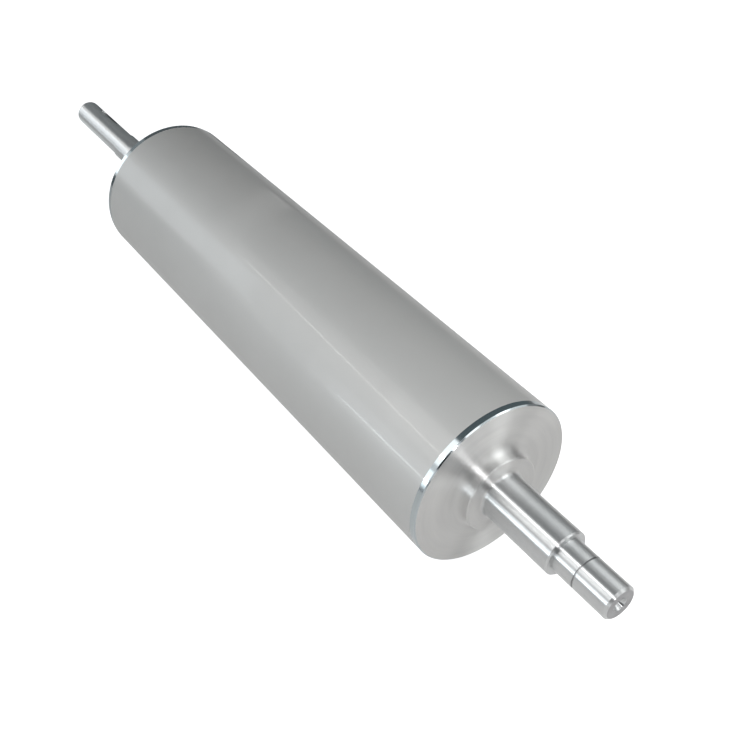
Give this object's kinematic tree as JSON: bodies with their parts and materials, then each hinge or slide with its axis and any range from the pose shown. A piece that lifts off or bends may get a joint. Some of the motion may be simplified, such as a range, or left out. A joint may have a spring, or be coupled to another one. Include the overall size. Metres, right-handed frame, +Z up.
{
  "type": "anilox roller",
  "caption": "Anilox roller that meters ink in flexographic printing: a steel roll with a ceramic-coated face, stepped journals for bearings and a keyed drive end.",
  "frame": {"origin": "on the roller's axis, halfway along its face", "axes": "+Y along the axis towards the keyed drive end, so the roller spins about +Y; +Z up"},
  "size_m": [0.15, 0.908, 0.15],
  "materials": {
    "ceramic": "matt, finely engraved",
    "turned_steel": "turned and ground bright",
    "tube_steel": "grit blasted under the coating, bored inside"
  },
  "bodies": {
    "root": {"roll_tube": "tube_steel", "ceramic_coating": "ceramic", "operator_head": "turned_steel", "drive_head": "turned_steel"}
  },
  "joints": []
}
